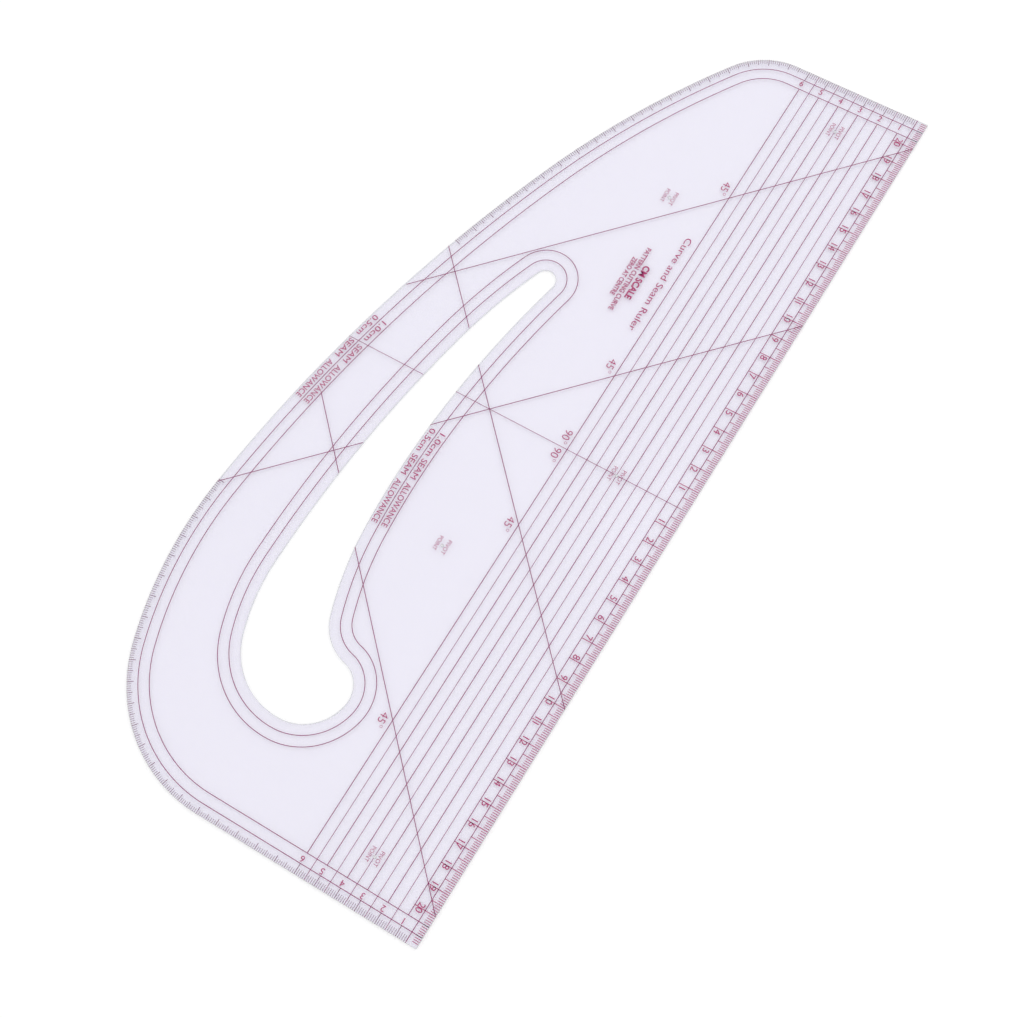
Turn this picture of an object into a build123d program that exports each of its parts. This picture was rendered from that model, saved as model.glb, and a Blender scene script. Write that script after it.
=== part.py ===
from build123d import *
import math
import os

# A clear plastic french curve for pattern cutting: one flat blade with a long curved slot,
# five pivot holes and a printed set of scales, guide lines and seam allowance lines.
#
# Millimetres. The ruling edge lies along X with its zero mark at the origin. +Y points out
# through the ruling edge, +Z up through the printed face, and the underside is at z = 0.

# Blade
THICKNESS = 1.2
LEFT_END = -214.0
END_LENGTH = 66.6
PIVOT_HOLE_DIAMETER = 1.2
PIVOT_POINTS = [(-192, -35), (0, -35), (192, -35), (-128, -84), (64, -84)]

# The outer curve runs from the left end to the right end as tangent arcs: radius, sweep in degrees
OUTER_ARCS = [(33.4, 54.1), (389, 14.3), (711, 16.8), (192, 24.3), (71.8, 70.5)]

# The slot starts on top of its narrow tip and runs anticlockwise; a minus sweep turns right
SLOT_START = (-64.33, -106.92)
SLOT_HEADING = 166.63
SLOT_ARCS = [(5.08, 170.96), (262.1, 10.11), (587, 12.71), (98.1, 20.63), (35.7, 71.54)]
SLOT_ARCS += [(22.4, 76.86), (13.6, 88.51), (23.35, -58.19), (163, -14.78)]

# Ink
INK = 0.03
# Joins the marks of a scale along the edge, so that each scale is one film
HAIRLINE = 0.08
HEAVY_LINE = 0.32
LIGHT_LINE = 0.24
# The most that the blade's curves bulge from the straight pieces that its seam lines follow
LINE_BULGE = 0.01
# How far the ink stays back from a pivot hole
HOLE_MARGIN = 0.15
SEAM_ALLOWANCES = {"5mm": 5.0, "10mm": 10.0}

# Scales
SCALE_HALF = 200
RULING_TICK = 2.9
HALF_CM = 5
CM = 10
TICK_WIDTHS = {1: 0.26, HALF_CM: 0.3, CM: 0.33}
CURVE_TICKS = {1: 2.0, HALF_CM: 2.6, CM: 3.1}
LEFT_CURVE_SCALE = 250
RIGHT_CURVE_SCALE = 280
GUIDE_DEPTH = 60
# Each 45 degree line starts at a mark on the ruling edge and goes this far down the blade
DIAGONAL_RUNS = {-200: 166, -100: 190, 100: 162, 200: 171}
CENTRE_LINE_RUN = 180

# Lettering: heights in mm, and stroke and spacing as shares of the height
NUMERAL = 3.1
NUMERAL_LINE = -7.4
DIGIT_SHIFT = 1.5
END_NUMERAL = 2.8
END_NUMERAL_INSET = 6.9
LEGEND = 2.8
LEGEND_WORDS = {"SEAM": 10.3, "ALLOWANCE": 22.3}
# Each row's amount, and how far from the edge the row runs
LEGEND_ROWS = {"1.0cm": 7.5, "0.5cm": 2.5}
LEGEND_AMOUNT_WIDTH = 11.8
# Where the amount and the two words are centred, in x
OUTER_LEGEND_X = (-9.0, 5.2, 24.5)
SLOT_LEGEND_X = (25.9, 39.2, 58.5)
# The stretch of the outer path, and the last stretch of the slot's, that the rows stand beside
OUTER_LEGEND_SPAN = (200, 450)
SLOT_LEGEND_RUN = 190
ANGLE_LABEL = 3.1
ANGLE_LABELS = [("45°", x, -64.0) for x in (-143.4, -43.3, 41.7, 142.0)]
ANGLE_LABELS += [("90°", x, -63.4) for x in (-5.0, 4.5)]
PIVOT_LABEL = 1.9
PIVOT_LABEL_WIDTH = 6.9
PIVOT_LABEL_OFFSET = 2.2
# Each line's words, height, width, boldness and centre
TITLE_LINES = [
    ("CURVE AND SEAM RULER", 3.3, 51.3, 0.8, (-88.2, -65.1)),
    ("CM SCALE", 3.3, 18.0, 1.5, (-84.1, -74.6)),
    ("PATTERN CUTTING CURVE", 2.3, 34.3, 1.2, (-84.1, -78.5)),
    ("ZERO AT CENTRE", 2.3, 20.8, 1.2, (-84.1, -81.7)),
]
STROKE = 0.13
GLYPH_WIDTH = 0.6
LETTER_PITCH = 0.8
# The most of the pitch that a glyph may fill, where a line has a set width
GLYPH_SHARE = 0.72

# Each glyph is a few polylines on a grid 2 wide and 4 high, each point written as column and row
GLYPHS = {
    "0": ["00 04 24 20 00"],
    "1": ["10 14 03"],
    "2": ["04 24 22 02 00 20"],
    "3": ["04 24 20 00", "02 22"],
    "4": ["20 24 01 21"],
    "5": ["24 04 02 22 20 00"],
    "6": ["24 04 00 20 22 02"],
    "7": ["04 24 10"],
    "8": ["00 04 24 20 00", "02 22"],
    "9": ["00 20 24 04 02 22"],
    "A": ["00 14 20", "01 21"],
    "C": ["24 04 00 20"],
    "D": ["00 04 14 23 21 10 00"],
    "E": ["24 04 00 20", "02 12"],
    "G": ["24 04 00 20 22 12"],
    "I": ["10 14"],
    "L": ["04 00 20"],
    "M": ["00 04 12 24 20"],
    "N": ["00 04 20 24"],
    "O": ["00 04 24 20 00"],
    "P": ["00 04 24 22 02"],
    "R": ["00 04 24 22 02 20"],
    "S": ["24 04 02 22 20 00"],
    "T": ["10 14", "04 24"],
    "U": ["04 00 20 24"],
    "V": ["04 10 24"],
    "W": ["04 00 12 20 24"],
    "Z": ["04 24 00 20"],
    "c": ["22 02 00 20"],
    "m": ["00 02 22 20", "10 12"],
    ".": ["10 10"],
    "°": ["04 14 13 03 04"],
}

os.makedirs("parts", exist_ok=True)


# Paths: a pose is (x, y, heading); a path is a start pose and a list of (curvature, length)


def advance(pose, curvature, length):
    """The pose after travelling length along an arc of this curvature, or straight if it is 0."""
    x, y, heading = pose
    if curvature == 0:
        return x + length * math.cos(heading), y + length * math.sin(heading), heading
    turned = heading + curvature * length
    dx = (math.sin(turned) - math.sin(heading)) / curvature
    dy = (math.cos(heading) - math.cos(turned)) / curvature
    return x + dx, y + dy, turned


def beside(pose, distance):
    """The point this far to the left of the direction of travel."""
    x, y, heading = pose
    return x - distance * math.sin(heading), y + distance * math.cos(heading)


def arcs_to_pieces(arcs):
    """(radius, sweep) pairs as (curvature, length) pairs."""
    pieces = []
    for radius, sweep in arcs:
        pieces.append((math.copysign(1 / radius, sweep), radius * math.radians(abs(sweep))))
    return pieces


def path_end(start, pieces):
    pose = start
    for curvature, length in pieces:
        pose = advance(pose, curvature, length)
    return pose


def path_length(pieces):
    return sum(length for _, length in pieces)


def pose_along(start, pieces, distance):
    """The pose at a distance along a path."""
    pose = start
    for curvature, length in pieces:
        if distance <= length:
            return advance(pose, curvature, distance)
        pose = advance(pose, curvature, length)
        distance -= length
    return pose


def path_points(start, pieces, offset):
    """Points along a path, moved sideways by offset to the left, close enough to join straight."""
    pose = start
    points = [beside(start, offset)]
    for curvature, length in pieces:
        longest = math.sqrt(8 * LINE_BULGE / abs(curvature)) if curvature else length
        count = math.ceil(length / longest)
        for _ in range(count):
            pose = advance(pose, curvature, length / count)
            points.append(beside(pose, offset))
    return points


def path_edges(start, pieces):
    """The lines and arcs of a path."""
    edges = []
    pose = start
    for curvature, length in pieces:
        middle = advance(pose, curvature, length / 2)
        end = advance(pose, curvature, length)
        if curvature == 0:
            edges.append(Line(pose[:2], end[:2]))
        else:
            edges.append(ThreePointArc(pose[:2], middle[:2], end[:2]))
        pose = end
    return edges


def tangent_arc(pose, target):
    """The (curvature, length) of the arc that leaves a pose and ends at a point."""
    dx, dy = target[0] - pose[0], target[1] - pose[1]
    chord = math.hypot(dx, dy)
    half_turn = math.remainder(math.atan2(dy, dx) - pose[2], 2 * math.pi)
    curvature = 2 * math.sin(half_turn) / chord
    return curvature, 2 * half_turn / curvature


def closing_arcs(start, end):
    """Two arcs, tangent to each other, that leave one pose and arrive at another."""
    from_tangent = Vector(math.cos(start[2]), math.sin(start[2]))
    to_tangent = Vector(math.cos(end[2]), math.sin(end[2]))
    gap = Vector(end[0] - start[0], end[1] - start[1])
    along = gap.dot(from_tangent + to_tangent)
    spread = 2 * (1 - from_tangent.dot(to_tangent))
    reach = (math.sqrt(along**2 + spread * gap.dot(gap)) - along) / spread
    leaving = Vector(start[0], start[1]) + from_tangent * reach
    arriving = Vector(end[0], end[1]) - to_tangent * reach
    joint = (leaving + arriving) * 0.5
    first = tangent_arc(start, (joint.X, joint.Y))
    second = tangent_arc(advance(start, *first), (end[0], end[1]))
    return [first, second]


# The outer path runs down the left end, along the curve and up the right end
OUTER_START = (LEFT_END, 0.0, -math.pi / 2)
curve_pieces = [(0, END_LENGTH)] + arcs_to_pieces(OUTER_ARCS)
curve_end = path_end(OUTER_START, curve_pieces)
RIGHT_END = curve_end[0]
OUTER_PIECES = curve_pieces + [(0, -curve_end[1])]

SLOT_POSE = (*SLOT_START, math.radians(SLOT_HEADING))
slot_pieces = arcs_to_pieces(SLOT_ARCS)
SLOT_PIECES = slot_pieces + closing_arcs(path_end(SLOT_POSE, slot_pieces), SLOT_POSE)


def polygon(points):
    return Face(Wire.make_polygon(points, close=True))


def outer_face():
    """The blade's outline."""
    return Face(Wire(path_edges(OUTER_START, OUTER_PIECES) + [Line((RIGHT_END, 0), (LEFT_END, 0))]))


def slot_face():
    return Face(Wire(path_edges(SLOT_POSE, SLOT_PIECES)))


def blade():
    plate = extrude(outer_face(), THICKNESS) - extrude(slot_face(), THICKNESS)
    for x, y in PIVOT_POINTS:
        plate -= Pos(x, y, THICKNESS / 2) * Cylinder(PIVOT_HOLE_DIAMETER / 2, THICKNESS)
    return plate


# Ink marks


def inked(face):
    return extrude(Pos(0, 0, THICKNESS) * face, INK)


def stroke(start, end, width):
    """A printed straight line from one point to another."""
    dx, dy = end[0] - start[0], end[1] - start[1]
    bar = Box(math.hypot(dx, dy), width, INK)
    middle = Pos((start[0] + end[0]) / 2, (start[1] + end[1]) / 2, THICKNESS + INK / 2)
    return middle * Rot(0, 0, math.degrees(math.atan2(dy, dx))) * bar


def tick_size(millimetre):
    """10 for a centimetre mark, 5 for a half, 1 for the rest."""
    return next(size for size in (CM, HALF_CM, 1) if millimetre % size == 0)


def comb(start, pieces, row, from_end=False):
    """A row of marks square to a path, joined along it by a hairline: row gives each mark's
    distance along the path, its length and its width."""
    total = path_length(pieces)
    teeth, spine = [], []
    for distance, reach, width in row:
        half = width / 2
        spine_depth = math.copysign(HAIRLINE, reach)
        for side, depth in ((-half, spine_depth), (-half, reach), (half, reach), (half, spine_depth)):
            along = total - distance + side if from_end else distance + side
            pose = pose_along(start, pieces, along)
            teeth.append(beside(pose, depth))
            if depth == spine_depth:
                spine.append(beside(pose, 0))
    if from_end:
        pairs = [teeth[i : i + 4] for i in range(0, len(teeth), 4)]
        teeth = [point for pair in reversed(pairs) for point in pair]
        spine = [point for i in range(len(spine) - 2, -1, -2) for point in spine[i : i + 2]]
    return [inked(polygon([*teeth, *reversed(spine)]))]


def ruling_scale():
    """Millimetre marks, with the halves reaching the 5 mm line and centimetres through to it."""
    clear = HALF_CM - HEAVY_LINE / 2
    row = []
    for x in range(math.ceil(LEFT_END + 1), math.floor(RIGHT_END)):
        if x == 0:
            continue
        size = tick_size(x) if abs(x) <= SCALE_HALF else 1
        row.append((x - LEFT_END, -clear if size > 1 else -RULING_TICK, TICK_WIDTHS[size]))
    marks = comb((LEFT_END, 0.0, 0.0), [(0, RIGHT_END - LEFT_END)], row)
    for x in range(-SCALE_HALF, SCALE_HALF + 1, CM):
        if x:
            top, bottom = -HALF_CM - HEAVY_LINE / 2, -CM + HEAVY_LINE / 2
            marks.append(stroke((x, top), (x, bottom), TICK_WIDTHS[CM]))
    return marks


def end_and_curve_scale(last, from_right):
    """One end's marks, counted from the ruling edge down the end and on along the curve."""
    row = []
    for millimetre in range(HALF_CM + 1, last + 1):
        size = tick_size(millimetre)
        on_end = millimetre <= GUIDE_DEPTH
        if on_end and size == HALF_CM:
            continue
        if on_end:
            reach = HALF_CM - HEAVY_LINE / 2 if size == CM else RULING_TICK
        else:
            reach = CURVE_TICKS[size]
        row.append((millimetre, reach, TICK_WIDTHS[size]))
    return comb(OUTER_START, OUTER_PIECES, row, from_right)


def guide_lines():
    """Lines parallel to the ruling edge: heavy ones each centimetre, light ones at the halves."""
    left, right = LEFT_END + CM, RIGHT_END - CM
    heavy, light = [], []
    for depth in range(HALF_CM, GUIDE_DEPTH + 1, HALF_CM):
        if depth % CM == 0:
            heavy.append(stroke((left, -depth), (right, -depth), HEAVY_LINE))
        else:
            width = HEAVY_LINE if depth == HALF_CM else LIGHT_LINE
            light.append(stroke((LEFT_END, -depth), (RIGHT_END, -depth), width))
    return heavy, pierced(light)


def outer_seam_line(allowance):
    """A line this far inside the outer edge, open at the ruling edge."""
    near = path_points(OUTER_START, OUTER_PIECES, allowance - HEAVY_LINE / 2)
    far = path_points(OUTER_START, OUTER_PIECES, allowance + HEAVY_LINE / 2)
    return inked(polygon([*near, *reversed(far)]))


def slot_seam_line(allowance):
    """A line this far outside the slot's edge."""
    near = path_points(SLOT_POSE, SLOT_PIECES, HEAVY_LINE / 2 - allowance)
    far = path_points(SLOT_POSE, SLOT_PIECES, -HEAVY_LINE / 2 - allowance)
    # The path ends where it starts, so its last point is left out
    return inked(polygon(far[:-1]) - polygon(near[:-1]))


def pierced(lines):
    """Lines broken by a square gap around each pivot hole."""
    gap = PIVOT_HOLE_DIAMETER + 2 * HOLE_MARGIN
    for x, y in PIVOT_POINTS:
        block = Pos(x, y, THICKNESS) * Box(gap, gap, THICKNESS)
        lines = [line - block for line in lines]
    return [solid for line in lines for solid in line.solids()]


def on_blade(line):
    """A long line, kept where there is blade under it."""
    room = extrude(outer_face(), 2 * THICKNESS) - extrude(slot_face(), 2 * THICKNESS)
    return line & room


def diagonal_lines():
    """45 degree lines from the 10 cm and 20 cm marks, leaning towards the middle."""
    lines = []
    for mark, run in DIAGONAL_RUNS.items():
        lean = math.copysign(run, -mark)
        line = stroke((mark, 0), (mark + lean, -run), HEAVY_LINE)
        lines += on_blade(line).solids()
    return lines


def centre_line():
    """The square line from the zero mark, broken by the slot and by the middle pivot hole."""
    return pierced([on_blade(stroke((0, 0), (0, -CENTRE_LINE_RUN), LIGHT_LINE))])


def meet(a, b):
    """Whether two bounding boxes meet in plan."""
    return (a.min.X < b.max.X and b.min.X < a.max.X) and (a.min.Y < b.max.Y and b.min.Y < a.max.Y)


def cleared(marks, printed):
    """Marks with the ink that is already down cut out of them, so that each film lies on the blade."""
    left = []
    for mark in marks:
        box = mark.bounding_box()
        for other, other_box in printed:
            if meet(box, other_box):
                mark = mark - other
        left += mark.solids()
    return left


# Lettering


def glyph(character, width, height, weight):
    """One printed character as a single solid, standing on the origin."""
    column, row = (width - weight) / 2, (height - weight) / 4
    bars = []
    for polyline in GLYPHS[character]:
        points = [(int(p[0]) * column, int(p[1]) * row) for p in polyline.split()]
        points = [(x + weight / 2, y + weight / 2) for x, y in points]
        for start, end in zip(points, points[1:]):
            bars.append(square_ended(start, end, weight))
    whole = bars[0]
    for bar in bars[1:]:
        whole += bar
    return whole


def square_ended(start, end, weight):
    """A stroke that runs half its width past both of its points, so that corners fill."""
    dx, dy = end[0] - start[0], end[1] - start[1]
    length = math.hypot(dx, dy)
    bar = Box(length + weight, weight, INK)
    middle = Pos((start[0] + end[0]) / 2, (start[1] + end[1]) / 2, THICKNESS + INK / 2)
    return middle * Rot(0, 0, math.degrees(math.atan2(dy, dx))) * bar


def lettering(text, height, x, y, angle=0, bold=1.0, width=None):
    """Text centred on a point, with capitals of this height; a width closes or opens its spacing."""
    gaps = len(text) - 1
    glyph_width = height * GLYPH_WIDTH
    pitch = height * LETTER_PITCH
    if width is not None:
        glyph_width = min(glyph_width, GLYPH_SHARE * width / gaps)
        pitch = (width - glyph_width) / gaps
    full = pitch * gaps + glyph_width
    weight = height * STROKE * bold
    place = Pos(x, y) * Rot(0, 0, angle) * Pos(-full / 2, -height / 2)
    size = (glyph_width, height, weight)
    return [place * Pos(i * pitch, 0) * glyph(c, *size) for i, c in enumerate(text) if c != " "]


def ruling_numerals():
    """1 to 20 both ways: one digit stands beside its tick, two digits straddle it."""
    letters = []
    for number in range(1, SCALE_HALF // CM + 1):
        for side in (-1, 1):
            shift = -side * DIGIT_SHIFT if number < 10 else 0
            letters += lettering(str(number), NUMERAL, side * number * CM + shift, NUMERAL_LINE)
    return letters


def end_numerals(x, angle):
    letters = []
    for number in range(1, GUIDE_DEPTH // CM + 1):
        letters += lettering(str(number), END_NUMERAL, x, -number * CM - 0.4, angle)
    return letters


def angle_labels():
    """The angle of each slanting line and of the centre line, just below the guide lines."""
    letters = []
    for text, x, y in ANGLE_LABELS:
        letters += lettering(text, ANGLE_LABEL, x, y)
    return letters


def distance_at_x(start, pieces, x, low, high):
    """Where a path that runs one way in X between two distances passes x."""
    rising = pose_along(start, pieces, high)[0] > pose_along(start, pieces, low)[0]
    for _ in range(40):
        middle = (low + high) / 2
        if (pose_along(start, pieces, middle)[0] < x) == rising:
            low = middle
        else:
            high = middle
    return low


def seam_legend(start, pieces, span, centres, side):
    """Two rows of words, one in each seam allowance band, to the left of the path or, where side
    is -1, to its right. Each word is turned to the path's slope at the word's middle."""
    letters = []
    for amount, offset in LEGEND_ROWS.items():
        words = {amount: LEGEND_AMOUNT_WIDTH, **LEGEND_WORDS}
        for (text, width), centre in zip(words.items(), centres):
            pose = pose_along(start, pieces, distance_at_x(start, pieces, centre, *span))
            x, y = beside(pose, side * offset)
            angle = math.degrees(pose[2]) + (180 if side < 0 else 0)
            letters += lettering(text, LEGEND, x, y, angle, width=width)
    return letters


def pivot_marks():
    letters = []
    for x, y in PIVOT_POINTS:
        for word, side in (("PIVOT", 1), ("POINT", -1)):
            line = y + side * PIVOT_LABEL_OFFSET
            letters += lettering(word, PIVOT_LABEL, x, line, width=PIVOT_LABEL_WIDTH)
    return letters


def title():
    """A generic description of the tool, in one wide line and three small bold ones."""
    letters = []
    for text, height, width, bold, (x, y) in TITLE_LINES:
        letters += lettering(text, height, x, y, bold=bold, width=width)
    return letters


def write(name, solids):
    export_step(Compound(children=list(solids)), f"parts/{name}.step", write_pcurves=False)


def ruled_marks():
    """The lines and scales by node, in the order that they are laid down."""
    heavy, light = guide_lines()
    marks = {}
    for label, allowance in SEAM_ALLOWANCES.items():
        marks[f"outer_seam_line_{label}"] = outer_seam_line(allowance).solids()
        marks[f"slot_seam_line_{label}"] = slot_seam_line(allowance).solids()
    marks["centimetre_lines"] = heavy
    marks["half_centimetre_lines"] = light
    marks["diagonal_lines"] = diagonal_lines()
    marks["centre_line"] = centre_line()
    marks["ruling_edge_scale"] = ruling_scale()
    marks["left_end_scale"] = end_and_curve_scale(LEFT_CURVE_SCALE, False)
    marks["right_end_scale"] = end_and_curve_scale(RIGHT_CURVE_SCALE, True)
    return marks


def lettered_marks():
    """The numerals and words by node."""
    slot_length = path_length(SLOT_PIECES)
    slot_span = (slot_length - SLOT_LEGEND_RUN, slot_length)
    return {
        "ruling_edge_numerals": ruling_numerals(),
        "left_end_numerals": end_numerals(LEFT_END + END_NUMERAL_INSET, 90),
        "right_end_numerals": end_numerals(RIGHT_END - END_NUMERAL_INSET, -90),
        "angle_labels": angle_labels(),
        "outer_seam_legend": seam_legend(OUTER_START, OUTER_PIECES, OUTER_LEGEND_SPAN, OUTER_LEGEND_X, 1),
        "slot_seam_legend": seam_legend(SLOT_POSE, SLOT_PIECES, slot_span, SLOT_LEGEND_X, -1),
        "pivot_marks": pivot_marks(),
        "title_lettering": title(),
    }


def boxed(solids):
    return [(solid, solid.bounding_box()) for solid in solids]


export_step(blade(), "parts/blade.step")
laid = {}
for name, marks in ruled_marks().items():
    below = [film for films in laid.values() for film in films]
    laid[name] = boxed(cleared(marks, below))
    write(name, [solid for solid, _ in laid[name]])
for name, letters in lettered_marks().items():
    write(name, cleared(letters, laid["centre_line"]))
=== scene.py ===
import math

import bmesh
import bpy
from mathutils import Matrix, Vector


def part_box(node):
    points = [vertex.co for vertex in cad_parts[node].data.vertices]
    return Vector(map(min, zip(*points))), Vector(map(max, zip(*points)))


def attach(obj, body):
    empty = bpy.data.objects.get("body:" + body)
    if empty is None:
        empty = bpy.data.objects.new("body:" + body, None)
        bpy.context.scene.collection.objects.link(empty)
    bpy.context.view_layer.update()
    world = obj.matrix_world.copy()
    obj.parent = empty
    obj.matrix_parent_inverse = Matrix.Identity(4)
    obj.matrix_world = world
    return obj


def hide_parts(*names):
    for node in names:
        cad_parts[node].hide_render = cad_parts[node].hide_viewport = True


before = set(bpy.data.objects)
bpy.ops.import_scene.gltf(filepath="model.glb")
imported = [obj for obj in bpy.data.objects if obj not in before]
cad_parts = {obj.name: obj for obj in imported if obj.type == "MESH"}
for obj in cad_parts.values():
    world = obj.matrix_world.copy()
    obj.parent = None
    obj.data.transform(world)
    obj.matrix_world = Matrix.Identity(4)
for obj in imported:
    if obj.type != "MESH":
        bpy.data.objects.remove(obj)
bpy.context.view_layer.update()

# The plastic sheet and its printed marks are built here in millimetres, in the CAD model's frame:
# the ruling edge along X with its zero mark at the origin, +Y out through it, +Z up.
MM = 0.001
BLADE_LOW, BLADE_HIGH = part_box("blade")
THICKNESS = (BLADE_HIGH.z - BLADE_LOW.z) / MM
LEFT_END = -214.0
END_LENGTH = 66.6
PIVOT_RADIUS = 0.6
PIVOT_POINTS = [(-192, -35), (0, -35), (192, -35), (-128, -84), (64, -84)]
OUTER_ARCS = [(33.4, 54.1), (389, 14.3), (711, 16.8), (192, 24.3), (71.8, 70.5)]
SLOT_START = (-64.33, -106.92)
SLOT_HEADING = 166.63
SLOT_ARCS = [(5.08, 170.96), (262.1, 10.11), (587, 12.71), (98.1, 20.63), (35.7, 71.54)]
SLOT_ARCS += [(22.4, 76.86), (13.6, 88.51), (23.35, -58.19), (163, -14.78)]
EDGE_BREAK = 0.12
HOLE_SIDES = 48
# The furthest apart that points stand along an arc
ARC_STEP = 0.7

# Ink marks. The keys are the size of a mark: 10 for a centimetre, 5 for a half, 1 for the rest.
INK = 0.03
TICK_WIDTHS = {1: 0.26, 5: 0.30, 10: 0.33}
CURVE_TICK_WIDTHS = {1: 0.16, 5: 0.22, 10: 0.26}
CURVE_TICKS = {1: 2.0, 5: 2.6, 10: 3.1}
END_TICKS = {1: 2.9, 10: 5.0}
SHORT_TICK = 2.9
SCALE_HALF = 200
GUIDE_DEPTH = 60
# The marks down each end start here, clear of the ruling edge's own
FIRST_END_MARK = 6
LEFT_CURVE_SCALE = 250
RIGHT_CURVE_SCALE = 280
SEAM_LINE = 0.32
SEAM_ALLOWANCES = {"5mm": 5.0, "10mm": 10.0}

# Lettering. A weight thickens the strokes, or thins them where it is minus, as a share of the font's size.
NUMERAL = 3.1
NUMERAL_LINE = -7.4
DIGIT_SHIFT = 1.5
END_NUMERAL = 2.8
END_NUMERAL_INSET = 6.9
END_NUMERAL_DROP = 0.4
ANGLE_LABEL = 3.7
ANGLE_LABEL_WEIGHT = -0.01
ANGLE_LABELS = [("45°", x, -64.0) for x in (-143.4, -43.3, 41.7, 142.0)]
ANGLE_LABELS += [("90°", x, -63.4) for x in (-5.0, 4.5)]
PIVOT_LABEL = 1.85
PIVOT_LABEL_WIDTH = 6.9
PIVOT_LABEL_OFFSET = 2.2
PIVOT_LABEL_WEIGHT = -0.008
LEGEND = 2.8
LEGEND_WORDS = {"SEAM": 10.3, "ALLOWANCE": 22.3}
LEGEND_AMOUNT_WIDTH = 11.8
# Each row's amount, and how far from the edge the row runs
LEGEND_ROWS = {"1.0cm": 7.5, "0.5cm": 2.5}
# Where the amount and the two words are centred in x, and the stretches of path that they stand beside
OUTER_LEGEND_X = (-9.0, 5.2, 24.5)
SLOT_LEGEND_X = (25.9, 39.2, 58.5)
OUTER_LEGEND_SPAN = (200, 450)
SLOT_LEGEND_RUN = 190
# Each line's words, height, width, weight and centre
TITLE_LINES = [
    ("Curve and Seam Ruler", 3.1, 51.3, -0.003, (-88.2, -65.1)),
    ("CM SCALE", 3.3, 18.0, 0.03, (-84.1, -74.6)),
    ("PATTERN CUTTING CURVE", 2.3, 34.3, 0.015, (-84.1, -78.5)),
    ("ZERO AT CENTRE", 2.3, 20.8, 0.015, (-84.1, -81.7)),
]

# Floor, light and camera: places and sizes in metres, the lens and its sensor in millimetres
FLOOR_HALF = 3.0
FLOOR_DROP = 0.0002
SKY_STRENGTH = 0.98
LAMP_PLACE = (-0.5, 0.5, 1.6)
LAMP_SIZE = 1.6
LAMP_WATTS = 5
CAMERA_PLACE = (0.27614, 0.213795, 0.876434)
CAMERA_DEGREES = (21.79744, 7.24555, 121.9859)
LENS = 78.232
SENSOR = 36


# Paths: a pose is (x, y, heading); a path is a start pose and a list of (curvature, length)


def advance(pose, curvature, length):
    """The pose after travelling length along an arc of this curvature, or straight if it is 0."""
    x, y, heading = pose
    if curvature == 0:
        return x + length * math.cos(heading), y + length * math.sin(heading), heading
    turned = heading + curvature * length
    dx = (math.sin(turned) - math.sin(heading)) / curvature
    dy = (math.cos(heading) - math.cos(turned)) / curvature
    return x + dx, y + dy, turned


def beside(pose, distance):
    """The point this far to the left of the direction of travel."""
    x, y, heading = pose
    return x - distance * math.sin(heading), y + distance * math.cos(heading)


def arcs_to_pieces(arcs):
    """(radius, sweep in degrees) pairs as (curvature, length) pairs; a minus sweep turns right."""
    pieces = []
    for radius, sweep in arcs:
        pieces.append((math.copysign(1 / radius, sweep), radius * math.radians(abs(sweep))))
    return pieces


def pose_along(start, pieces, distance):
    """The pose at a distance along a path, or at its end if it is shorter."""
    pose = start
    for curvature, length in pieces:
        if distance <= length:
            return advance(pose, curvature, distance)
        pose = advance(pose, curvature, length)
        distance -= length
    return pose


def path_length(pieces):
    return sum(length for _, length in pieces)


def path_end(start, pieces):
    return pose_along(start, pieces, path_length(pieces) + 1)


def path_poses(start, pieces):
    """Poses along a path, close together on its arcs and at the ends of its straights."""
    poses = []
    pose = start
    for curvature, length in pieces:
        count = 1 if curvature == 0 else max(2, math.ceil(length / ARC_STEP))
        poses += [advance(pose, curvature, length * i / count) for i in range(count)]
        pose = advance(pose, curvature, length)
    return poses + [pose]


def tangent_arc(pose, target):
    """The (curvature, length) of the arc that leaves a pose and ends at a point."""
    dx, dy = target[0] - pose[0], target[1] - pose[1]
    half_turn = math.remainder(math.atan2(dy, dx) - pose[2], 2 * math.pi)
    curvature = 2 * math.sin(half_turn) / math.hypot(dx, dy)
    return curvature, 2 * half_turn / curvature


def closing_arcs(start, end):
    """Two arcs, tangent to each other, that leave one pose and arrive at another."""
    leave = Vector((math.cos(start[2]), math.sin(start[2])))
    arrive = Vector((math.cos(end[2]), math.sin(end[2])))
    gap = Vector((end[0] - start[0], end[1] - start[1]))
    along = gap.dot(leave + arrive)
    spread = 2 * (1 - leave.dot(arrive))
    reach = (math.sqrt(along**2 + spread * gap.dot(gap)) - along) / spread
    joint = (Vector(start[:2]) + leave * reach + Vector(end[:2]) - arrive * reach) * 0.5
    first = tangent_arc(start, joint)
    return [first, tangent_arc(advance(start, *first), end[:2])]


OUTER_START = (LEFT_END, 0.0, -math.pi / 2)
curve = [(0, END_LENGTH)] + arcs_to_pieces(OUTER_ARCS)
curve_end = path_end(OUTER_START, curve)
RIGHT_END = curve_end[0]
OUTER_PIECES = curve + [(0, -curve_end[1])]
OUTER_LENGTH = path_length(OUTER_PIECES)
SLOT_POSE = (*SLOT_START, math.radians(SLOT_HEADING))
slot_arcs = arcs_to_pieces(SLOT_ARCS)
SLOT_PIECES = slot_arcs + closing_arcs(path_end(SLOT_POSE, slot_arcs), SLOT_POSE)
SLOT_LENGTH = path_length(SLOT_PIECES)


# Materials


def new_material(name):
    material = bpy.data.materials.new(name)
    material.use_nodes = True
    nodes = material.node_tree.nodes
    return material, nodes, material.node_tree.links, nodes["Principled BSDF"]


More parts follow.
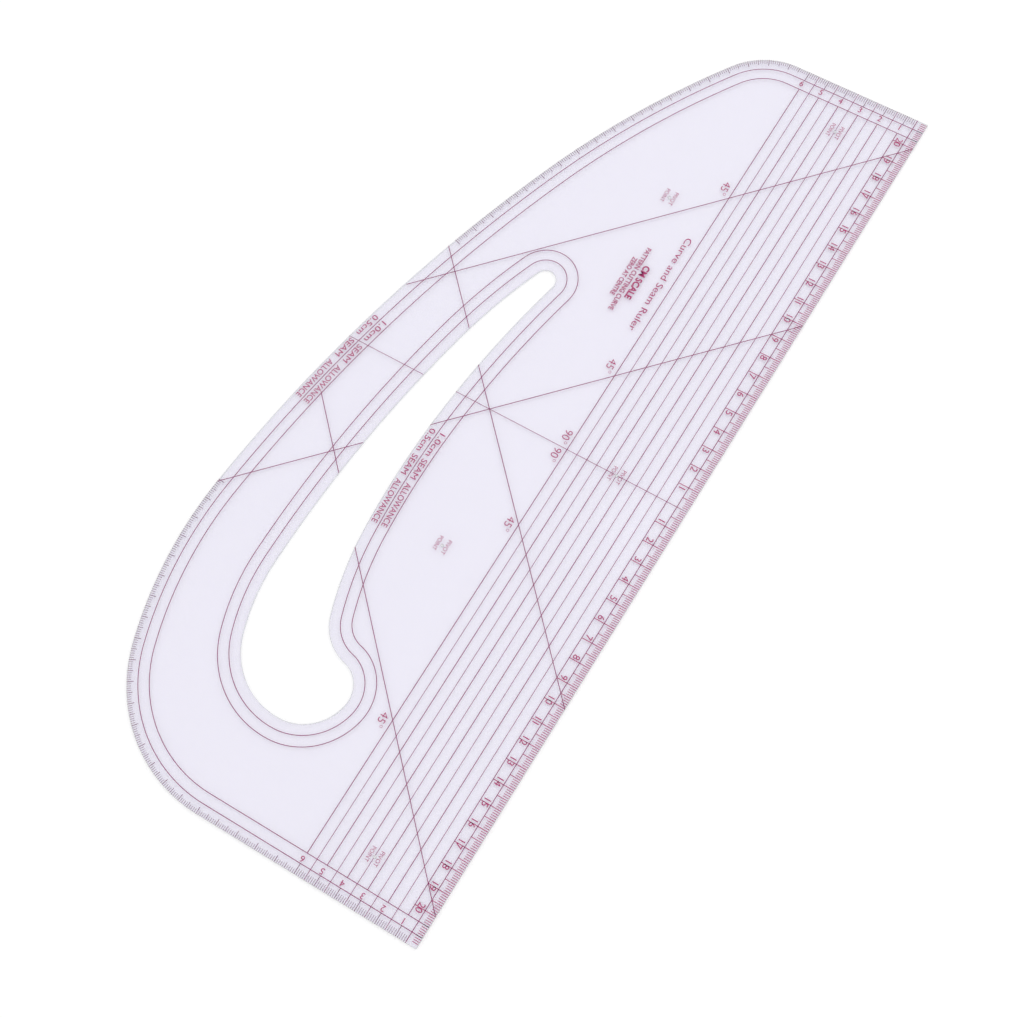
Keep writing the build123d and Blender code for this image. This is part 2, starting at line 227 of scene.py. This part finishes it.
def noise(nodes, links, scale, detail=2.0, stretch=None):
    """A noise texture in the piece's own coordinates. A stretch is a scale on each axis and a turn
    in degrees, and pulls the noise out into streaks."""
    coords = nodes.new("ShaderNodeTexCoord")
    texture = nodes.new("ShaderNodeTexNoise")
    texture.inputs["Scale"].default_value = scale
    texture.inputs["Detail"].default_value = detail
    source = coords.outputs["Object"]
    if stretch is not None:
        mapping = nodes.new("ShaderNodeMapping")
        mapping.inputs["Scale"].default_value = stretch[0]
        mapping.inputs["Rotation"].default_value = (0, 0, math.radians(stretch[1]))
        links.new(source, mapping.inputs["Vector"])
        source = mapping.outputs["Vector"]
    links.new(source, texture.inputs["Vector"])
    return texture.outputs["Fac"]


def remap(nodes, links, source, low, high, to_low, to_high):
    """A value taken from one range to another."""
    node = nodes.new("ShaderNodeMapRange")
    node.inputs["From Min"].default_value = low
    node.inputs["From Max"].default_value = high
    node.inputs["To Min"].default_value = to_low
    node.inputs["To Max"].default_value = to_high
    links.new(source, node.inputs["Value"])
    return node.outputs["Result"]


def mixed(nodes, links, factor, first, second):
    """A colour between two, by a factor."""
    node = nodes.new("ShaderNodeMix")
    node.data_type = "RGBA"
    node.inputs[6].default_value = (*first, 1)
    node.inputs[7].default_value = (*second, 1)
    links.new(factor, node.inputs[0])
    return node.outputs[2]


def bump(nodes, links, height, strength, distance, below=None):
    """A bumped normal, on top of another where below is given."""
    node = nodes.new("ShaderNodeBump")
    node.inputs["Strength"].default_value = strength
    node.inputs["Distance"].default_value = distance
    links.new(height, node.inputs["Height"])
    if below is not None:
        links.new(below, node.inputs["Normal"])
    return node.outputs["Normal"]


def clear_plastic():
    """Clear acrylic sheet: a faint cool tint, slow ripples and fine rubbed scratches."""
    material, nodes, links, shader = new_material("clear_acrylic_sheet")
    shader.inputs["Alpha"].default_value = 0.10
    shader.inputs["IOR"].default_value = 2.2
    tint = mixed(nodes, links, noise(nodes, links, 9.0), (0.42, 0.36, 0.68), (0.48, 0.41, 0.74))
    links.new(tint, shader.inputs["Base Color"])
    scratches = noise(nodes, links, 260.0, 3.0, ((1.0, 0.03, 1.0), 24))
    links.new(remap(nodes, links, scratches, 0.55, 0.75, 0.04, 0.16), shader.inputs["Roughness"])
    ripple = bump(nodes, links, noise(nodes, links, 35.0), 0.25, 0.00008)
    fine = bump(nodes, links, scratches, 0.12, 0.00001, ripple)
    links.new(fine, shader.inputs["Normal"])
    return material


def cut_edge():
    """The sheet's routed edge: the same plastic, frosted by fine tool marks square to its faces, with a
    grey colour that is painted shade for the darkening a clear edge shows.
    """
    material, nodes, links, shader = new_material("routed_acrylic_edge_painted_shade")
    shader.inputs["Alpha"].default_value = 0.45
    shader.inputs["IOR"].default_value = 1.49
    marks = noise(nodes, links, 900.0, 2.0, ((1.0, 1.0, 0.05), 0))
    # The grey of the walls is painted shade for the darkening of the clear edge; the tool marks only vary
    # it.
    frost_and_painted_shade = mixed(nodes, links, marks, (0.42, 0.43, 0.45), (0.60, 0.61, 0.63))
    links.new(frost_and_painted_shade, shader.inputs["Base Color"])
    links.new(remap(nodes, links, marks, 0.3, 0.7, 0.28, 0.45), shader.inputs["Roughness"])
    links.new(bump(nodes, links, marks, 0.3, 0.00004), shader.inputs["Normal"])
    return material


def printed_ink(name, thin, dense):
    """Screen ink: slightly mottled in density between two colours, with a low satin tooth."""
    material, nodes, links, shader = new_material(name)
    mottle = noise(nodes, links, 700.0, 3.0)
    links.new(mixed(nodes, links, mottle, dense, thin), shader.inputs["Base Color"])
    grain = noise(nodes, links, 4200.0)
    links.new(remap(nodes, links, grain, 0.3, 0.7, 0.42, 0.6), shader.inputs["Roughness"])
    links.new(bump(nodes, links, grain, 0.35, 0.00001), shader.inputs["Normal"])
    return material


def floor_paper():
    """White paper with a faint fibre, for the floor."""
    material, nodes, links, shader = new_material("white_paper_floor")
    fibre = noise(nodes, links, 400.0, 3.0)
    shade = mixed(nodes, links, fibre, (0.955, 0.955, 0.955), (0.975, 0.975, 0.975))
    links.new(shade, shader.inputs["Base Color"])
    shader.inputs["Roughness"].default_value = 0.9
    shader.inputs["Specular IOR Level"].default_value = 0.1
    return material


ACRYLIC, EDGE = clear_plastic(), cut_edge()
LETTER_INK = printed_ink("crimson_screen_ink", (0.42, 0.025, 0.15), (0.33, 0.014, 0.11))
LINE_INK = printed_ink("plum_screen_ink", (0.27, 0.016, 0.125), (0.20, 0.009, 0.09))
EDGE_INK = printed_ink("dark_plum_screen_ink", (0.19, 0.04, 0.12), (0.13, 0.03, 0.085))


# Meshes


class Shape:
    """Vertices in millimetres and faces, gathered into one mesh object."""

    def __init__(self):
        self.points = []
        self.faces = []

    def add(self, points, faces):
        base = len(self.points)
        self.points += points
        self.faces += [[base + i for i in face] for face in faces]

    def film(self, ring):
        """A closed film of ink over a convex ring of points, anticlockwise from above."""
        count = len(ring)
        low = [(x, y, THICKNESS) for x, y in ring]
        high = [(x, y, THICKNESS + INK) for x, y in ring]
        sides = [[i, (i + 1) % count, count + (i + 1) % count, count + i] for i in range(count)]
        self.add(low + high, [list(reversed(range(count))), list(range(count, 2 * count))] + sides)

    def bar(self, start, end, width):
        """A straight film from one point to another."""
        dx, dy = end[0] - start[0], end[1] - start[1]
        length = math.hypot(dx, dy)
        nx, ny = -dy / length * width / 2, dx / length * width / 2
        self.film(
            [
                (start[0] - nx, start[1] - ny),
                (end[0] - nx, end[1] - ny),
                (end[0] + nx, end[1] + ny),
                (start[0] + nx, start[1] + ny),
            ]
        )

    def ribbon(self, poses, offset, width, closed):
        """A film that follows a path at a distance to its left."""
        points, faces = [], []
        for pose in poses:
            inner, outer = beside(pose, offset - width / 2), beside(pose, offset + width / 2)
            for z in (THICKNESS, THICKNESS + INK):
                points += [(*inner, z), (*outer, z)]
        steps = len(poses) if closed else len(poses) - 1
        for i in range(steps):
            a, b = 4 * i, 4 * ((i + 1) % len(poses))
            faces += [[a, a + 1, b + 1, b], [a + 2, b + 2, b + 3, a + 3]]
            faces += [[a, b, b + 2, a + 2], [a + 1, a + 3, b + 3, b + 1]]
        if not closed:
            last = 4 * (len(poses) - 1)
            faces += [[0, 2, 3, 1], [last, last + 1, last + 3, last + 2]]
        self.add(points, faces)

    def build(self, name, ink, *replaced):
        """Makes the mesh object, in place of these CAD nodes."""
        mesh = bpy.data.meshes.new(name)
        mesh.from_pydata([[c * MM for c in p] for p in self.points], [], self.faces)
        work = bmesh.new()
        work.from_mesh(mesh)
        bmesh.ops.recalc_face_normals(work, faces=work.faces)
        work.to_mesh(mesh)
        work.free()
        piece = bpy.data.objects.new(name, mesh)
        bpy.context.scene.collection.objects.link(piece)
        mesh.materials.append(ink)
        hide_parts(*replaced)
        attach(piece, "root")


def ring_of(points):
    """The points without a repeated last one."""
    if math.dist(points[0], points[-1]) < 1e-6:
        points = points[:-1]
    return points


def mesh_of(holder):
    """A curve or text object's surface as a new mesh."""
    view = bpy.context.evaluated_depsgraph_get()
    return bpy.data.meshes.new_from_object(holder.evaluated_get(view))


def sheet():
    """The blade: its outline, slot and pivot holes, with broken edges and frosted walls greyed by painted
    shade.
    """
    outer = path_poses(OUTER_START, OUTER_PIECES)
    slot = ring_of(path_poses(SLOT_POSE, SLOT_PIECES))
    curve = bpy.data.curves.new("blade_outline", "CURVE")
    curve.dimensions = "2D"
    curve.fill_mode = "BOTH"
    holes = [[(pose[0], pose[1]) for pose in slot]]
    for x, y in PIVOT_POINTS:
        turn = [2 * math.pi * i / HOLE_SIDES for i in range(HOLE_SIDES)]
        holes.append([(x + PIVOT_RADIUS * math.cos(a), y + PIVOT_RADIUS * math.sin(a)) for a in turn])
    outline = [(pose[0], pose[1]) for pose in outer]
    for ring in [outline, *holes]:
        spline = curve.splines.new("POLY")
        spline.points.add(len(ring) - 1)
        for point, (x, y) in zip(spline.points, ring):
            point.co = (x * MM, y * MM, 0, 1)
        spline.use_cyclic_u = True
    curve.extrude = (THICKNESS / 2 - EDGE_BREAK) * MM
    curve.bevel_depth = EDGE_BREAK * MM
    curve.bevel_resolution = 1
    curve.offset = -EDGE_BREAK * MM
    holder = bpy.data.objects.new("blade_outline", curve)
    bpy.context.scene.collection.objects.link(holder)
    bpy.context.view_layer.update()
    mesh = mesh_of(holder)
    bpy.data.objects.remove(holder)
    mesh.transform(Matrix.Translation((0, 0, THICKNESS / 2 * MM)))
    work = bmesh.new()
    work.from_mesh(mesh)
    bmesh.ops.remove_doubles(work, verts=work.verts, dist=1e-7)
    bmesh.ops.recalc_face_normals(work, faces=work.faces)
    work.to_mesh(mesh)
    work.free()
    mesh.materials.clear()
    mesh.materials.append(ACRYLIC)
    mesh.materials.append(EDGE)
    mesh.set_sharp_from_angle(angle=math.radians(35))
    for face in mesh.polygons:
        face.material_index = 0 if abs(face.normal.z) > 0.98 else 1
        face.use_smooth = face.material_index == 1
    piece = bpy.data.objects.new("blade_sheet", mesh)
    bpy.context.scene.collection.objects.link(piece)
    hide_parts("blade")
    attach(piece, "root")


sheet()


# Scales


def tick_size(millimetre):
    """10 for a centimetre mark, 5 for a half, 1 for the rest."""
    return next(size for size in (10, 5, 1) if millimetre % size == 0)


def ruling_scale():
    """Millimetre marks, with the halves and centimetres as deep as their size."""
    shape = Shape()
    for x in range(math.ceil(LEFT_END + 1), math.floor(RIGHT_END)):
        if x:
            size = tick_size(x) if abs(x) <= SCALE_HALF else 1
            shape.bar((x, 0), (x, -size if size > 1 else -SHORT_TICK), TICK_WIDTHS[size])
    shape.build("ruling_edge_ticks", LETTER_INK, "ruling_edge_scale")


def curve_scale(name, node, last, from_right):
    """Marks counted from the ruling edge down one end and on along the curve."""
    shape = Shape()
    for millimetre in range(FIRST_END_MARK, last + 1):
        size = tick_size(millimetre)
        on_end = millimetre <= GUIDE_DEPTH
        if on_end and size == 5:
            continue
        depth = END_TICKS[size] if on_end else CURVE_TICKS[size]
        along = OUTER_LENGTH - millimetre if from_right else millimetre
        pose = pose_along(OUTER_START, OUTER_PIECES, along)
        shape.bar(beside(pose, 0), beside(pose, depth), CURVE_TICK_WIDTHS[size])
    shape.build(name, EDGE_INK, node)


def seam_lines():
    """Lines that follow the outer edge and the slot at each seam allowance."""
    outer = path_poses(OUTER_START, OUTER_PIECES)
    slot = ring_of(path_poses(SLOT_POSE, SLOT_PIECES))
    for label, allowance in SEAM_ALLOWANCES.items():
        shape = Shape()
        shape.ribbon(outer, allowance, SEAM_LINE, False)
        shape.build(f"outer_seam_{label}", LINE_INK, f"outer_seam_line_{label}")
        shape = Shape()
        shape.ribbon(slot, -allowance, SEAM_LINE, True)
        shape.build(f"slot_seam_{label}", LINE_INK, f"slot_seam_line_{label}")


ruling_scale()
curve_scale("left_end_ticks", "left_end_scale", LEFT_CURVE_SCALE, False)
curve_scale("right_end_ticks", "right_end_scale", RIGHT_CURVE_SCALE, True)
seam_lines()


# Lettering


words = {}


def word(text, weight):
    """A word's points and faces, in a box from 0 to 1 each way, and its natural width per height."""
    if (text, weight) not in words:
        curve = bpy.data.curves.new("word", "FONT")
        curve.body = text
        curve.size = 1.0
        curve.resolution_u = 4
        curve.offset = weight
        curve.extrude = 0.5
        holder = bpy.data.objects.new("word", curve)
        bpy.context.scene.collection.objects.link(holder)
        bpy.context.view_layer.update()
        mesh = mesh_of(holder)
        bpy.data.objects.remove(holder)
        work = bmesh.new()
        work.from_mesh(mesh)
        bmesh.ops.remove_doubles(work, verts=work.verts, dist=1e-5)
        work.to_mesh(mesh)
        work.free()
        points = [tuple(v.co) for v in mesh.vertices]
        xs, ys = [p[0] for p in points], [p[1] for p in points]
        wide, high = max(xs) - min(xs), max(ys) - min(ys)
        points = [((x - min(xs)) / wide, (y - min(ys)) / high, z + 0.5) for x, y, z in points]
        words[text, weight] = (points, [list(face.vertices) for face in mesh.polygons], wide / high)
        bpy.data.meshes.remove(mesh)
    return words[text, weight]


def write(shape, text, height, x, y, angle=0.0, width=None, weight=0.0):
    """Adds a word centred on a point, this high and wide, turned by an angle in radians."""
    points, faces, natural = word(text, weight)
    width = natural * height if width is None else width
    c, s = math.cos(angle), math.sin(angle)
    placed = []
    for u, v, w in points:
        across, up = (u - 0.5) * width, (v - 0.5) * height
        placed.append((x + across * c - up * s, y + across * s + up * c, THICKNESS + w * INK))
    shape.add(placed, faces)


def numerals():
    """1 to 20 both ways along the ruling edge, and 1 to 6 down each end."""
    shape = Shape()
    for number in range(1, SCALE_HALF // 10 + 1):
        for side in (-1, 1):
            shift = -side * DIGIT_SHIFT if number < 10 else 0
            write(shape, str(number), NUMERAL, side * number * 10 + shift, NUMERAL_LINE)
    shape.build("ruling_edge_figures", LETTER_INK, "ruling_edge_numerals")
    left, right = LEFT_END + END_NUMERAL_INSET, RIGHT_END - END_NUMERAL_INSET
    for name, x, angle in (("left_end", left, 90), ("right_end", right, -90)):
        shape = Shape()
        for number in range(1, GUIDE_DEPTH // 10 + 1):
            y = -number * 10 - END_NUMERAL_DROP
            write(shape, str(number), END_NUMERAL, x, y, math.radians(angle))
        shape.build(f"{name}_figures", LETTER_INK, f"{name}_numerals")


def angles():
    """The angle of each slanting line and of the centre line."""
    shape = Shape()
    for text, x, y in ANGLE_LABELS:
        write(shape, text, ANGLE_LABEL, x, y, weight=ANGLE_LABEL_WEIGHT)
    shape.build("angle_figures", LETTER_INK, "angle_labels")


def distance_at_x(start, pieces, x, low, high):
    """Where a path that runs one way in X between two distances passes x."""
    rising = pose_along(start, pieces, high)[0] > pose_along(start, pieces, low)[0]
    for _ in range(40):
        middle = (low + high) / 2
        if (pose_along(start, pieces, middle)[0] < x) == rising:
            low = middle
        else:
            high = middle
    return low


def seam_words(start, pieces, span, centres, side):
    """Two rows of words, one in each seam allowance band, to the left of the path or, where side
    is -1, to its right."""
    shape = Shape()
    for amount, offset in LEGEND_ROWS.items():
        row = {amount: LEGEND_AMOUNT_WIDTH, **LEGEND_WORDS}
        for (text, width), x in zip(row.items(), centres):
            pose = pose_along(start, pieces, distance_at_x(start, pieces, x, *span))
            place = beside(pose, side * offset)
            write(shape, text, LEGEND, *place, pose[2] + (math.pi if side < 0 else 0), width)
    return shape


def pivot_words():
    """A word above and a word below each pivot hole."""
    shape = Shape()
    for x, y in PIVOT_POINTS:
        for text, line in (("PIVOT", y + PIVOT_LABEL_OFFSET), ("POINT", y - PIVOT_LABEL_OFFSET)):
            write(shape, text, PIVOT_LABEL, x, line, 0, PIVOT_LABEL_WIDTH, PIVOT_LABEL_WEIGHT)
    shape.build("pivot_words", LETTER_INK, "pivot_marks")


def title():
    """A generic description of the tool, in one wide line and three small bold ones."""
    shape = Shape()
    for text, height, width, weight, (x, y) in TITLE_LINES:
        write(shape, text, height, x, y, 0, width, weight)
    shape.build("title_words", LETTER_INK, "title_lettering")


numerals()
angles()
outer_words = seam_words(OUTER_START, OUTER_PIECES, OUTER_LEGEND_SPAN, OUTER_LEGEND_X, 1)
outer_words.build("outer_seam_words", LETTER_INK, "outer_seam_legend")
slot_span = (SLOT_LENGTH - SLOT_LEGEND_RUN, SLOT_LENGTH)
slot_words = seam_words(SLOT_POSE, SLOT_PIECES, slot_span, SLOT_LEGEND_X, -1)
slot_words.build("slot_seam_words", LETTER_INK, "slot_seam_legend")
pivot_words()
title()

# These nodes are shown as the CAD has them
for node in ("centimetre_lines", "half_centimetre_lines", "diagonal_lines", "centre_line"):
    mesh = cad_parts[node].data
    mesh.materials.clear()
    mesh.materials.append(LINE_INK)


# Floor, light and camera


def floor():
    """A sheet of white paper just under the blade."""
    mesh = bpy.data.meshes.new("floor")
    signs = [(-1, -1), (1, -1), (1, 1), (-1, 1)]
    corners = [(x * FLOOR_HALF, y * FLOOR_HALF, -FLOOR_DROP) for x, y in signs]
    mesh.from_pydata(corners, [], [[0, 1, 2, 3]])
    mesh.materials.append(floor_paper())
    plane = bpy.data.objects.new("floor", mesh)
    bpy.context.scene.collection.objects.link(plane)


def soft_light(name, place, size, power):
    """A square lamp that faces the origin."""
    light = bpy.data.lights.new(name, "AREA")
    light.shape = "SQUARE"
    light.size = size
    light.energy = power
    lamp = bpy.data.objects.new(name, light)
    lamp.location = place
    lamp.rotation_mode = "QUATERNION"
    lamp.rotation_quaternion = (-Vector(place)).to_track_quat("-Z", "Y")
    bpy.context.scene.collection.objects.link(lamp)


def studio():
    """An even white sky, one soft lamp overhead and plain display colours."""
    world = bpy.data.worlds.new("studio")
    world.use_nodes = True
    world.node_tree.nodes["Background"].inputs["Color"].default_value = (1, 1, 1, 1)
    world.node_tree.nodes["Background"].inputs["Strength"].default_value = SKY_STRENGTH
    bpy.context.scene.world = world
    soft_light("overhead", LAMP_PLACE, LAMP_SIZE, LAMP_WATTS)
    bpy.context.scene.view_settings.view_transform = "Standard"


def camera():
    data = bpy.data.cameras.new("camera")
    data.sensor_width = SENSOR
    data.lens = LENS
    data.clip_start, data.clip_end = 0.05, 20
    view = bpy.data.objects.new("camera", data)
    view.location = CAMERA_PLACE
    view.rotation_euler = [math.radians(angle) for angle in CAMERA_DEGREES]
    bpy.context.scene.collection.objects.link(view)
    bpy.context.scene.camera = view


floor()
studio()
camera()

bpy.context.view_layer.update()
